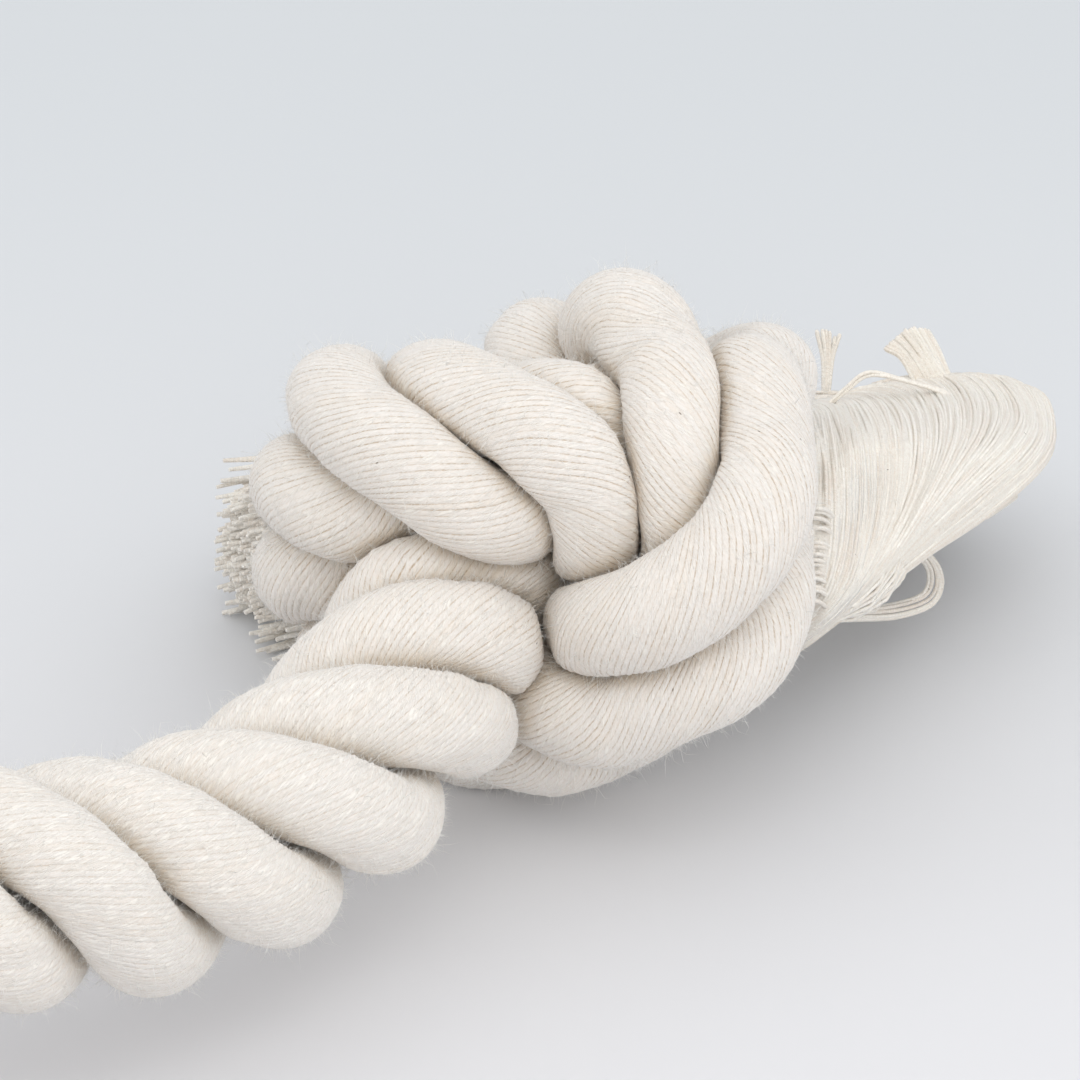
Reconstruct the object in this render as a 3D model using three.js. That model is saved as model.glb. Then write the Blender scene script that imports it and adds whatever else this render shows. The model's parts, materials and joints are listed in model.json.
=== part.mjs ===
// A rope dog toy: one length of three-strand cotton rope, with an overhand knot tied near each end and
// the strands combed out into a tassel beyond each knot.
// Millimetres, +Z up, X along the toy, origin at the middle of its footprint on the table.
import * as THREE from "three";

// Rope
const STRANDS = 3;
const STRAND_RADIUS = 7.6; // a strand of the loosened rope in the knots, where nothing presses on it
const LAY_RADIUS = 8.7; // from the rope's centre line to a strand's centre line
const TIGHT_RADIUS = 7.2; // the same two where the free rope is twisted hard
const TIGHT_LAY_RADIUS = 9.4;
const PRESS_RADIUS = 6.1; // a strand squeezed between its neighbours in the knot
const CLEARANCE = 0.5; // between neighbouring strands, and between the lengths of one strand
const NECK = 109.5; // along the rope, from the middle of the toy to where it enters a knot
const FOOT_DEPTH = 2.4; // how far the table presses the lowest strands flat

// Tassels
const LOCK_WIDTH = 9; // one combed-out strand, across the tassel
const LOCK_HEIGHT = 16;
const LOCK_FLARE = 1.3; // the cut end of a lock against its middle
const OPENING = 45; // along the tassel, from the knot to where the locks lie side by side
const UNLAY = 45; // degrees the strands still turn round each other while they open
const UNLAY_HASTE = 5; // how much sooner that turning ends than the opening
const LOCK_SLOTS = [0, -1, 1]; // place of each strand's lock across the tassel, left of its run positive

// The strands settling in the knot
const SETTLE_ROUNDS = 150;
const SETTLE_START = 75.5; // along the rope, where the lay begins to give way
const SETTLE_BLEND = 45; // along the rope, until the strands are free to move
const SMOOTHING = 0.12; // share of the way to the middle of its neighbours that a point moves in a round
const MEMORY = 0.02; // share of the way back to its laid place
const OWN_DIAMETERS = 1.8; // along the rope, how many of its diameters of a strand count as one stretch
const TAIL = 12; // along the rope, the last of the knot, which goes back to its lay for the tassel

// Facets
const STEP = 3; // between points along a centre line
const ROUTE_DIVISIONS = 40; // of each stretch of the route, where its length is measured
const NEIGHBOUR_STEP = 0.75; // the same, where a neighbouring strand's centre line is measured
const RING_STEP = 6.2; // between rings along a strand
const SIDES = 10;
const TRIM_ROUNDS = 3; // how often the facets are drawn in where they reach past the rounded gap

// The rope's centre line from the middle of the toy through one knot: x, y, z and the angle of the
// first strand round it in degrees. The other half is this one turned half round the middle.
const ROUTE = [
  [0, 0, 37, 60],
  [23.5, -11, 34.5, 243],
  [41, -13.5, 29.5, 356],
  [58.5, -14, 28, 467],
  [77.5, -10.5, 28, 582],
  [93.5, -4.5, 30.5, 682],
  [106.5, 2, 33, 776],
  [121, 11.5, 34.5, 918],
  [137, 20, 34.5, 1078],
  [150, 24, 37.5, 1228],
  [150, 16, 47.5, 1318],
  [144.5, -0.5, 56, 1398],
  [140, -14, 53, 1444],
  [134.5, -18.5, 42, 1486],
  [128.5, -13, 31.5, 1558],
  [125, 2, 21, 1690],
  [123.5, 17.5, 16, 1834],
  [122.5, 27, 20, 1972],
  [118.5, 29.5, 30.5, 2092],
  [113.5, 23, 45.5, 2206],
  [113.5, 13, 53.5, 2272],
  [120, 4, 54, 2320],
  [131, 0.5, 49, 2436],
  [147, 1, 39.5, 2572],
  [159, -2.5, 33.5, 2650],
];

// The near tassel folds back behind its knot, and the far one lies straight out on the table. Both
// routes start where the rope leaves the knot of the near half.
const NEAR_TASSEL = [
  [159, -2.5, 33.5],
  [167, -4, 30.5],
  [173.5, -3, 28],
  [180, 1, 26],
  [188.5, 4, 24],
  [197.5, 6.5, 21.5],
  [205, 10, 18.5],
  [208.5, 16.5, 15.5],
  [205, 25, 13],
  [195.5, 33.5, 11],
  [182.5, 41.5, 10],
  [168, 48.5, 9.5],
  [153.5, 54, 9],
  [138.5, 58, 9],
  [124.5, 61, 9],
];
const FAR_TASSEL = [
  [159, -2.5, 33.5],
  [167.5, -6, 29.5],
  [178.5, -13.5, 25],
  [193.5, -19.5, 18.5],
  [211.5, -22.5, 14],
  [231.5, -23, 11],
  [254.5, -23, 9.5],
  [277, -23, 9],
  [298, -22.5, 9],
];

// Where the knot was drawn tight: strand, place along the rope from its middle, length over which the pull
// fades, and the pull in x, y and z.
const PULLS = [
  [0, 180, 12, -6, 2.5, -2.5],
  [0, 194, 12, 4, -4, -1],
  [2, 194, 12, -4.5, -2, -7],
  [0, 254, 15, 3, 1.5, 5],
  [0, 296, 12, 3, -4, -2],
  [1, 314, 15, -1.5, 6, 6],
  [0, 329, 13, 1, -3.5, -3.5],
];

const UP = new THREE.Vector3(0, 0, 1);
const ownLength = OWN_DIAMETERS * 2 * STRAND_RADIUS;

const smoothstep = (x) => THREE.MathUtils.smoothstep(x, 0, 1);

const curveThrough = (points) => new THREE.CatmullRomCurve3(points, false, "catmullrom", 0.5);

const turnedHalfRound = (point) => new THREE.Vector3(-point.x, -point.y, point.z);

// Directions along a row of points, from each point's neighbours
function tangentsOf(points) {
  return points.map((point, i) => {
    const before = points[Math.max(i - 1, 0)];
    const after = points[Math.min(i + 1, points.length - 1)];
    return after.clone().sub(before).normalize();
  });
}

// Directions square to a row of tangents, carried along it without twist from the given first one
function carriedNormals(tangents, first) {
  const normals = [first.clone().addScaledVector(tangents[0], -first.dot(tangents[0])).normalize()];
  for (let i = 1; i < tangents.length; i++) {
    const bisector = tangents[i - 1].clone().add(tangents[i]);
    const lean = normals[i - 1].dot(tangents[i]) / (1 + tangents[i - 1].dot(tangents[i]));
    normals.push(normals[i - 1].clone().addScaledVector(bisector, -lean).normalize());
  }
  return normals;
}

// 1 in the free stretch of the rope, 0 in its knots, by the length along it from the middle of the toy
const tightness = (along) => smoothstep((SETTLE_START + SETTLE_BLEND - along) / SETTLE_BLEND);

// The three strands laid round the rope from the middle of the toy to the end of the knot
function layStrands() {
  const middleTurn = ROUTE[0][3];
  const otherHalf = ROUTE.slice(1).reverse();
  const rows = [...otherHalf.map(([x, y, z, turn]) => [-x, -y, z, 2 * middleTurn - turn]), ...ROUTE];
  const line = curveThrough(rows.map(([x, y, z]) => new THREE.Vector3(x, y, z)));
  const turns = curveThrough(rows.map((row) => new THREE.Vector3(row[3], 0, 0)));
  line.arcLengthDivisions = ROUTE_DIVISIONS * rows.length;
  const length = line.getLength() / 2;
  const count = Math.round(length / STEP);
  const places = Array.from({ length: count + 1 }, (_, i) => line.getUtoTmapping((1 + i / count) / 2));
  const centres = places.map((t) => line.getPoint(t));
  const tangents = tangentsOf([turnedHalfRound(centres[1]), ...centres]).slice(1);
  const normals = carriedNormals(tangents, UP);
  const step = length / count;
  const strands = Array.from({ length: STRANDS }, (_, k) =>
    centres.map((centre, i) => {
      const radius = THREE.MathUtils.lerp(LAY_RADIUS, TIGHT_LAY_RADIUS, tightness(i * step));
      const angle = THREE.MathUtils.degToRad(turns.getPoint(places[i]).x + (360 / STRANDS) * k);
      const sideways = tangents[i].clone().cross(normals[i]);
      return centre
        .clone()
        .addScaledVector(normals[i], radius * Math.cos(angle))
        .addScaledVector(sideways, radius * Math.sin(angle));
    }),
  );
  return { strands, step };
}

// The laid strands drawn aside where the knot was pulled tight
function pullStrands(laid, step) {
  return laid.map((strand, k) =>
    strand.map((point, i) => {
      const moved = point.clone();
      for (const [pulled, place, fading, x, y, z] of PULLS) {
        const share = pulled === k ? Math.exp(-(((i * step - place) / fading) ** 2)) : 0;
        moved.addScaledVector(new THREE.Vector3(x, y, z), share);
      }
      return moved;
    }),
  );
}

// Strands that are laid too close in the knot push each other aside, while smoothing keeps each one
// fair. The rope outside the knot and the last of it stay as laid.
function settleStrands(laid, step) {
  const count = laid[0].length;
  const own = ownLength / step;
  const hold = Array.from({ length: count }, (_, i) =>
    Math.max(tightness(i * step), smoothstep(1 - ((count - 1 - i) * step) / TAIL)),
  );
  let strands = laid;
  for (let round = 0; round < SETTLE_ROUNDS; round++) {
    const smooth = strands.map((strand) =>
      strand.map((point, i) => {
        if (i === 0 || i === count - 1) return point;
        const middle = strand[i - 1].clone().add(strand[i + 1]).multiplyScalar(0.5);
        return point.clone().lerp(middle, SMOOTHING * (1 - hold[i]));
      }),
    );
    strands = smooth.map((strand, k) =>
      strand.map((point, i) => {
        const push = new THREE.Vector3();
        let touching = 0;
        smooth.forEach((other, m) =>
          other.forEach((neighbour, j) => {
            if (m === k && Math.abs(i - j) < own) return;
            const distance = point.distanceTo(neighbour);
            const overlap = 2 * PRESS_RADIUS - distance;
            if (overlap <= 0) return;
            push.add(point.clone().sub(neighbour).multiplyScalar(overlap / distance));
            touching += 1;
          }),
        );
        const moved = point.clone().addScaledVector(push, 0.5 / Math.max(1, touching / 2));
        return moved.lerp(laid[k][i], Math.max(MEMORY, hold[i]));
      }),
    );
  }
  return strands;
}

// The locks of a tassel: the strands leave the knot as they are laid there, turn on round each other ever
// slower and spread until they lie side by side along the route.
function spreadLocks(route, exits) {
  const line = curveThrough(route.map(([x, y, z]) => new THREE.Vector3(x, y, z)));
  const length = line.getLength();
  const count = Math.round(length / STEP);
  const centres = line.getSpacedPoints(count);
  const tangents = tangentsOf(centres);
  return exits.map((exit, k) => {
    const laid = exit.clone().sub(centres[0]);
    return centres.slice(1).map((centre, i) => {
      const open = Math.min((length * (i + 1)) / count / OPENING, 1);
      const turn = THREE.MathUtils.degToRad(UNLAY) * (1 - (1 - open) ** UNLAY_HASTE);
      const left = UP.clone().cross(tangents[i + 1]).normalize();
      const beside = left.multiplyScalar(LOCK_SLOTS[k] * LOCK_WIDTH);
      const round = laid.clone().applyAxisAngle(tangents[i + 1], turn);
      return centre.clone().add(round.lerp(beside, smoothstep(open)));
    });
  });
}

// Every strand from the cut end of the far tassel to that of the near one. Turning the near half round
// the middle brings its first strand onto the last one, so the halves join first to last.
function wholeStrands() {
  const { strands: laid, step } = layStrands();
  const settled = settleStrands(pullStrands(laid, step), step);
  const exits = settled.map((strand) => strand.at(-1));
  const near = spreadLocks(NEAR_TASSEL, exits);
  const far = spreadLocks(FAR_TASSEL, exits);
  const neck = Math.round(NECK / step);
  const knot = settled[0].length - 1;
  return settled.map((strand, k) => {
    const partner = STRANDS - 1 - k;
    const farHalf = [...settled[partner].slice(1), ...far[partner]].map(turnedHalfRound).reverse();
    const points = [...farHalf, ...strand, ...near[k]];
    const middle = farHalf.length;
    const cuts = [0, middle - knot, middle - neck, middle + neck, middle + knot, points.length - 1];
    const curve = curveThrough(points);
    const fine = Math.round(STEP / NEIGHBOUR_STEP);
    const close = curve.getPoints((points.length - 1) * fine);
    return { points, cuts, middle, step, curve, close, fine };
  });
}

// Whether a point of the centre lines belongs to the same stretch of strand as a section
const isOwn = (k, place, section) =>
  k === section.strand && Math.abs(place - section.place) * STEP < ownLength;

// How far a section of a strand reaches from its centre in one direction before it meets the plane
// halfway to a neighbouring strand, or to another stretch of the same one
function reach(section, direction, free, strands) {
  let most = free;
  const offset = new THREE.Vector3();
  strands.forEach(({ close, fine }, k) =>
    close.forEach((point, i) => {
      if (isOwn(k, i / fine, section)) return;
      offset.subVectors(point, section.centre);
      const towards = offset.dot(direction);
      if (towards > 0) most = Math.min(most, offset.lengthSq() / (2 * towards) - CLEARANCE / 2);
    }),
  );
  return most;
}

// How much nearer a point is to its own centre line than to any neighbour's
function margin(point, section, strands) {
  let own = Infinity;
  let other = Infinity;
  strands.forEach(({ close, fine }, k) =>
    close.forEach((neighbour, i) => {
      const distance = neighbour.distanceToSquared(point);
      if (isOwn(k, i / fine, section)) own = Math.min(own, distance);
      else other = Math.min(other, distance);
    }),
  );
  return Math.sqrt(other) - Math.sqrt(own);
}

// Draws in the corners of each facet whose edges reach past the gap to a neighbour
function trimFacets(rings, sections, strands) {
  const edges = [
    [0, 0, 0, 1],
    [0, 0, 1, 0],
    [0, 1, 1, 0],
  ];
  for (let round = 0; round < TRIM_ROUNDS; round++) {
    const drawn = rings.map((ring) => ring.map(() => 0));
    for (let i = 0; i + 1 < rings.length; i++) {
      for (let j = 0; j < SIDES; j++) {
        for (const [ring1, side1, ring2, side2] of edges) {
          const ends = [
            [i + ring1, (j + side1) % SIDES],
            [i + ring2, (j + side2) % SIDES],
          ];
          const [a, b] = ends.map(([ring, side]) => rings[ring][side]);
          const midpoint = a.clone().lerp(b, 0.5);
          const lack = (CLEARANCE - margin(midpoint, sections[i], strands)) / 2;
          for (const [ring, side] of ends) drawn[ring][side] = Math.max(drawn[ring][side], lack);
        }
      }
    }
    rings.forEach((ring, i) =>
      ring.forEach((point, j) => {
        const inward = sections[i].centre.clone().sub(point).normalize();
        point.addScaledVector(inward, drawn[i][j]);
      }),
    );
  }
}

// Rings of points round one strand from one cut to the next. A lock's section is an upright ellipse
// that grows out of the strand's round one.
function ringsOf(strands, k, from, to, lock) {
  const { points, middle, step, curve } = strands[k];
  const last = points.length - 1;
  const stretch = points.slice(from, to + 1);
  const length = stretch.slice(1).reduce((sum, point, i) => sum + point.distanceTo(stretch[i]), 0);
  const count = Math.round(length / RING_STEP);
  const places = Array.from({ length: count + 1 }, (_, i) => from + ((to - from) * i) / count);
  const tangents = places.map((place) => curve.getTangent(place / last));
  const sections = places.map((place) => ({ strand: k, place, centre: curve.getPoint(place / last) }));
  sections[0].centre.addScaledVector(tangents[0], CLEARANCE / 2);
  sections[count].centre.addScaledVector(tangents[count], -CLEARANCE / 2);
  const carried = carriedNormals(tangents, UP);
  const rings = sections.map((section, i) => {
    const fromKnot = to === last ? i / count : 1 - i / count;
    const spread = lock ? smoothstep((fromKnot * length) / OPENING) : 0;
    const flare = THREE.MathUtils.lerp(1, LOCK_FLARE, fromKnot * fromKnot);
    const tight = tightness(Math.abs(section.place - middle) * step);
    const radius = THREE.MathUtils.lerp(STRAND_RADIUS, TIGHT_RADIUS, tight);
    const width = THREE.MathUtils.lerp(radius, (flare * LOCK_WIDTH) / 2, spread);
    const height = THREE.MathUtils.lerp(radius, (flare * LOCK_HEIGHT) / 2, spread);
    const upright = UP.clone().addScaledVector(tangents[i], -UP.dot(tangents[i])).normalize();
    const normal = lock ? upright : carried[i];
    const sideways = tangents[i].clone().cross(normal);
    return Array.from({ length: SIDES }, (_, j) => {
      const angle = (2 * Math.PI * (j + 0.5)) / SIDES;
      const across = normal
        .clone()
        .multiplyScalar(height * Math.cos(angle))
        .addScaledVector(sideways, width * Math.sin(angle));
      const free = across.length();
      const direction = across.normalize();
      const most = reach(section, direction, free, strands);
      return section.centre.clone().addScaledVector(direction, most);
    });
  });
  trimFacets(rings, sections, strands);
  return rings;
}

// A closed tube through rings of points, with a flat cap at each end
function tube(rings) {
  const sides = rings[0].length;
  const last = (rings.length - 1) * sides;
  const middles = [rings[0], rings.at(-1)].map((ring) =>
    ring.reduce((sum, point) => sum.add(point), new THREE.Vector3()).divideScalar(sides),
  );
  const points = [...rings.flat(), ...middles];
  const index = [];
  for (let j = 0; j < sides; j++) {
    const next = (j + 1) % sides;
    for (let row = 0; row < last; row += sides) {
      index.push(row + j, row + next, row + sides + j);
      index.push(row + next, row + sides + next, row + sides + j);
    }
    index.push(points.length - 2, next, j);
    index.push(points.length - 1, last + j, last + next);
  }
  return new THREE.BufferGeometry().setFromPoints(points).setIndex(index);
}

const cotton = (color) => new THREE.MeshStandardMaterial({ color, roughness: 0.95, metalness: 0 });

// The pieces of every strand between its cuts, from the far end to the near one
const PIECES = [
  { name: "far_tassel_lock", color: "#efe8da", lock: true },
  { name: "far_knot_strand", color: "#ece5d8", lock: false },
  { name: "rope_strand", color: "#ebe5d9", lock: false },
  { name: "near_knot_strand", color: "#ece5d8", lock: false },
  { name: "near_tassel_lock", color: "#efe8da", lock: true },
];

const strands = wholeStrands();
const pieces = strands.flatMap(({ cuts }, k) =>
  PIECES.map((piece, i) => ({
    ...piece,
    name: `${piece.name}_${k + 1}`,
    rings: ringsOf(strands, k, cuts[i], cuts[i + 1], piece.lock),
  })),
);

// The toy is lowered onto the table until its knots are pressed flat where they touch it.
const knotHeights = pieces
  .filter(({ lock }) => !lock)
  .flatMap(({ rings }) => rings.flat().map((point) => point.z));
const table = Math.min(...knotHeights) + FOOT_DEPTH;
const footprint = new THREE.Box3();
for (const { rings } of pieces) {
  for (const point of rings.flat()) {
    point.z = Math.max(point.z - table, 0);
    footprint.expandByPoint(point);
  }
}
const middle = footprint.getCenter(new THREE.Vector3());

const rope = new THREE.Group();
rope.position.set(-middle.x, -middle.y, 0);
for (const { name, color, rings } of pieces) {
  const mesh = new THREE.Mesh(tube(rings), cotton(color));
  mesh.name = name;
  rope.add(mesh);
}

const toy = new THREE.Group();
toy.add(rope);
export default toy;
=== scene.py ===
"""The looks of a rope dog toy: three cotton strands laid into a rope, an overhand knot near each end and a
tassel of combed-out yarns beyond each knot. Shapes are worked out in millimetres along the rope's own route
and set into the frame in metres."""
import json

import bpy
import numpy as np
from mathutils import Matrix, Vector


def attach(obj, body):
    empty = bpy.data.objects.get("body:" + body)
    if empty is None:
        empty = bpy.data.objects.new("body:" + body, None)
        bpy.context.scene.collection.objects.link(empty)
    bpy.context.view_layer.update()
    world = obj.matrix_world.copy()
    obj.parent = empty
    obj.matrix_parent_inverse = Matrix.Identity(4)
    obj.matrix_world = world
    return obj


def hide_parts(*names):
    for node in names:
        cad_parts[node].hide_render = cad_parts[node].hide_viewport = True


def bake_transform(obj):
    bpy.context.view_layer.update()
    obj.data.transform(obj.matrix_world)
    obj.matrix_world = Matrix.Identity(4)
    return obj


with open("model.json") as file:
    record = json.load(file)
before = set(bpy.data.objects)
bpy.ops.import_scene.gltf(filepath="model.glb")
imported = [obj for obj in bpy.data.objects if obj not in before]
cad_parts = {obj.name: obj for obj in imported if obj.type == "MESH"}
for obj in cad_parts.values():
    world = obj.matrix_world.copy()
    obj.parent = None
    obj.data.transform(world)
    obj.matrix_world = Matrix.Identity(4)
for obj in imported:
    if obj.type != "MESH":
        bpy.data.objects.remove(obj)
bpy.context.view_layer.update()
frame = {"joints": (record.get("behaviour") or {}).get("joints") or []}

# Rope, in millimetres
STRANDS = 3
STRAND_RADIUS = 7.6  # loose, as in the knots
LAY_RADIUS = 8.7  # from the rope's centre line to a strand's
TIGHT_RADIUS = 7.2  # the same two twisted hard, as in the free stretch
TIGHT_LAY_RADIUS = 9.4
PRESS_RADIUS = 6.1  # squeezed between neighbours in the knot
NECK = 109.5  # along the rope, from the middle of the toy to a knot
STEP = 3.0  # between points along a centre line
ROUTE_DIVISIONS = 40  # of each stretch of a line, where its length is measured

# The strands settling in the knot
SETTLE_ROUNDS = 150
SETTLE_START = 75.5  # along the rope, where the lay begins to give way
SETTLE_BLEND = 45.0  # along the rope, until the strands are free to move
SMOOTHING = 0.12  # share of the way to the middle of its neighbours that a point moves in a round
MEMORY = 0.02  # share of the way back to its laid place
OWN_LENGTH = 27.36  # along a strand, what counts as the same stretch of it
FAR_OFF = 1e3  # added to distances within that stretch
TAIL = 12.0  # along the rope, the last of the knot, which goes back to its lay for the tassel

# Tassels
LOCK_WIDTH = 9.0
LOCK_HEIGHT = 16.0
LOCK_FLARE = 1.3  # the cut end of a lock against its middle
OPENING = 45.0  # along the tassel, until the locks lie side by side
UNLAY = 45.0  # degrees the strands still turn round each other while they open
UNLAY_HASTE = 5
LOCK_SLOTS = (0, -1, 1)

# Skin of a strand
RING_STEP = 1.5
YARNS = 40
YARN_POINTS = 3
YARN_PROFILE = (-1.0, 0.7, 0.7)  # height of a yarn's points, in ridges, the first in the gap beside it
YARN_LAY = 42.0  # length of strand in which its yarns turn once round it
RIDGE = 0.045
PRESSED_RIDGE = 0.35  # what neighbours leave of a ridge
LUMPS = 10
LUMP_HEIGHT = 0.25
LUMP_LENGTH = 60.0
GAP_DEPTH = 1.6  # of an open gap between yarns, in ridges
GAP_LENGTH = 90.0
PROUD = 0.5  # how far a yarn stands out, in ridges
PROUD_LENGTH = 130.0
GAP = 0.1  # between strands
ROUNDING = 2.2  # how gently a round side turns into a pressed one
FREE_START = 0.7  # roundings before a strand's own radius, where it begins to count as free
CREASE_SHADE_WIDTH = 2.6  # width of the stretch beside a neighbour that the material paints with shade
MARKS = ("crease", "worn")  # values on the skin that its material reads: where it paints shade beside a neighbour, and where the rope is worn
UV_SHIFT = 100  # between the UVs of two strands, so that their yarns differ
NEAREST = 160  # neighbouring points that a ring is measured against
FINE = 3  # neighbouring points to a step
CHUNK = 40  # rings measured at once
TINY = 1e-6

# Smooth random swings: each sine against the one before, the spread of the lengths, and the divisor of the sum
SINE_LENGTH = 0.61
SINE_HEIGHT = 0.75
SINE_SPREAD = (0.8, 1.2)
SINE_SUM = 1.6

# Tassel yarns
LOCK_YARNS = 260
YARN_RADIUS = 0.36
YARN_SIDES = 4
YARN_TIP = 0.6  # a yarn's tip against its radius
LOWEST_YARN = 0.6  # centre of a yarn that lies on the table
GOLDEN_ANGLE = 2.39996
RING_CROWDING = 1.35  # power by which rings crowd towards the knot
FRAYING = (0.72, 0.28)  # share of the tassel where it frays, and over which
DRAWING = (0.5, 0.5)  # the same for drawing in
LIFTING = (15, 25)  # length along the tassel where it lifts off the table, and over which
LANDING = (65, 30)
LOOSENING = (10, 60)
YARN_SWING = 0.8
SWING_LENGTH = 70
CLUMPS = 5
CLUMP_SWING = 0.5
CLUMP_LENGTH = 60
CLUMP_SPREAD = 2.2
TIP_SCATTER = 0.3
TIP_SWELL = 0.7
# Rings along a yarn, lift off the table, drawing in of the ends, and their least and greatest extra length
TASSELS = {"near": (40, 3.5, 7, (6, 11)), "far": (18, 0, 0, (1, 8))}
SHEET_RINGS = 30
SHEET_SWING = 0.2
SHEET_SINES = 2
SHEET_DEPTH = 0.9

# Loose fibres
FUZZ = 14000
FUZZ_LENGTH = 2.2
HAIRS = 1800
HAIR_LENGTH = 5.0
HAIR_RADIUS = 0.026
HAIR_ROOT = 0.3  # depth below the skin
HAIR_LEAN = 0.7
LEAST_RISE = 0.15  # of a fibre off the skin, against its length
SHORTEST = 0.15  # fibre against the longest
SHORT_SHARE = 2.5  # power that makes most fibres short
HAIR_BEND = 0.9
HAIR_TAPER = 0.8
ROOM = 0.8  # how free the skin has to be
ROPE_FUZZ = 2  # fibres on a free strand, against one in a knot

# Yarn pattern: noise scales across the yarns and along them, and detail
WANDER = (0.6, 0.12, 2.0)
# The next two place the painted shade between yarns in patches along the gaps
PATCHES = (3.7, 0.3, 3.0)
THICKNESS = (0.22, 0.07, 2.0)
CLOUDS = (0.15, 0.05, 2.0)
GRAIN = (4.5, 3.4, 2.0)
FIBRE_SLANT = (7.0, 1.1)  # shares of across and along in a slanting direction
FIBRE_LENGTH = 0.8
FIBRE_DETAIL = 3.0
FUZZ_SLANT = (2.4, 2.8)
FUZZ_STRAY = (0.45, 0.4)
FUZZ_DETAIL = 2.0
FLECKS = (0.05, 0.045)
# Values between which a noise turns from 0 to 1
FUZZ_RAMP = (0.5, 0.64)
TINT_RAMP = (0.55, 1.15)
STREAK_RAMP = (0.4, 0.64)
PATCH_RAMP = (0.34, 0.66)
THICK_RAMP = (0.2, 0.55)
BREAK_RAMP = (0.4, 0.6)
GROOVE_SHADE_RAMP = (0.17, 0.02)
FLECK_RAMP = (0.007, 0.004)
# Strengths
WANDER_WIDTH = 0.5
WORN_FUZZ = 0.05
OWN_TINT = 0.5
# Painted shade in the creases beside a neighbour: how sharply it gathers there and how far it goes
CREASE_SHADE_POWER = 2.0
CREASE_SHADE_TINT = 0.6
STREAK_TINT = 0.2
FUZZ_TINT = 0.55
FLECK_TINT = 0.8
LEAST_PATCH = 0.35
LEAST_BREAK = 0.4
OPEN_GROOVE_SHADE = 0.8  # how much painted groove shade shows outside the creases
WORN_GROOVE_SHADE = 0.5  # share of the painted groove shade lost where the rope is worn

# Colours
PALE_COTTON = (0.88, 0.838, 0.793, 1)
# Pale fuzz on the strands, and painted light on the tassel's yarns: the rope's cotton made lighter to make up for
# the shade among them
WHITE_COTTON = (0.97, 0.935, 0.865, 1)
WARM_COTTON = (0.86, 0.78, 0.69, 1)
TAN_COTTON = (0.75, 0.64, 0.53, 1)
# painted shade in the creases between strands
CREASE_SHADE = (0.76, 0.64, 0.48, 1)
# painted shade in the gaps between yarns
GROOVE_SHADE = (0.54, 0.40, 0.26, 1)
FIBRE_COTTON = (0.95, 0.94, 0.91, 1)
HUSK = (0.12, 0.08, 0.05, 1)
# The floor paper with painted shade: lighter near the camera, darker away from it
NEAR_FLOOR = (0.757, 0.752, 0.768, 1)
FAR_FLOOR_SHADE = (0.652, 0.673, 0.69, 1)
FLOOR_RAMP = (-0.05, 0.35)  # metres away from the camera, from the origin
FLOOR_REACH = 6

# Light, in metres: place, size and power of each soft box
LIGHTS = {
    "overhead": ((0.2, -0.1, 1.6), 2.0, 5.0),
    "left": ((-0.64, 0.62, 0.45), 1.0, 2.2),
    "right": ((0.95, -0.75, 0.5), 1.0, 1.4),
    "front": ((-0.15, -0.9, 0.95), 1.4, 6.2),
}
LIGHT_AIM = (0.15, 0, 0)
LIGHT_COLOR = (1, 0.99, 0.97)
WORLD_COLOR = (0.95, 0.97, 1.0, 1)
WORLD_LIGHT = 0.76

# View
CAMERA_TARGET = (130.02, 9.46, 37.0)
CAMERA_AZIMUTH = -38.0
CAMERA_ELEVATION = 32.0
CAMERA_DISTANCE = 0.85
CAMERA_LENS = 199.2
CAMERA_SENSOR = 36
PICTURE = 1080

# The rope's centre line from the middle of the toy through one knot: x, y, z and the first strand's angle in
# degrees
ROUTE = np.array([
    [0, 0, 37, 60],
    [23.5, -11, 34.5, 243],
    [41, -13.5, 29.5, 356],
    [58.5, -14, 28, 467],
    [77.5, -10.5, 28, 582],
    [93.5, -4.5, 30.5, 682],
    [106.5, 2, 33, 776],
    [121, 11.5, 34.5, 918],
    [137, 20, 34.5, 1078],
    [150, 24, 37.5, 1228],
    [150, 16, 47.5, 1318],
    [144.5, -0.5, 56, 1398],
    [140, -14, 53, 1444],
    [134.5, -18.5, 42, 1486],
    [128.5, -13, 31.5, 1558],
    [125, 2, 21, 1690],
    [123.5, 17.5, 16, 1834],
    [122.5, 27, 20, 1972],
    [118.5, 29.5, 30.5, 2092],
    [113.5, 23, 45.5, 2206],
    [113.5, 13, 53.5, 2272],
    [120, 4, 54, 2320],
    [131, 0.5, 49, 2436],
    [147, 1, 39.5, 2572],
    [159, -2.5, 33.5, 2650],
])
NEAR_TASSEL = np.array([
    [159, -2.5, 33.5],
    [167, -4, 30.5],
    [173.5, -3, 28],
    [180, 1, 26],
    [188.5, 4, 24],
    [197.5, 6.5, 21.5],
    [205, 10, 18.5],
    [208.5, 16.5, 15.5],
    [205, 25, 13],
    [195.5, 33.5, 11],
    [182.5, 41.5, 10],
    [168, 48.5, 9.5],
    [153.5, 54, 9],
    [138.5, 58, 9],
    [124.5, 61, 9],
])
FAR_TASSEL = np.array([
    [159, -2.5, 33.5],
    [167.5, -6, 29.5],
    [178.5, -13.5, 25],
    [193.5, -19.5, 18.5],
    [211.5, -22.5, 14],
    [231.5, -23, 11],
    [254.5, -23, 9.5],
    [277, -23, 9],
    [298, -22.5, 9],
])
# Where the knot was drawn tight: strand, place along the rope from its middle, fading length, and the pull
# in x, y, z
PULLS = np.array([
    [0, 180, 12, -6, 2.5, -2.5],
    [0, 194, 12, 4, -4, -1],
    [2, 194, 12, -4.5, -2, -7],
    [0, 254, 15, 3, 1.5, 5],
    [0, 296, 12, 3, -4, -2],
    [1, 314, 15, -1.5, 6, 6],
    [0, 329, 13, 1, -3.5, -3.5],
])
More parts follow.
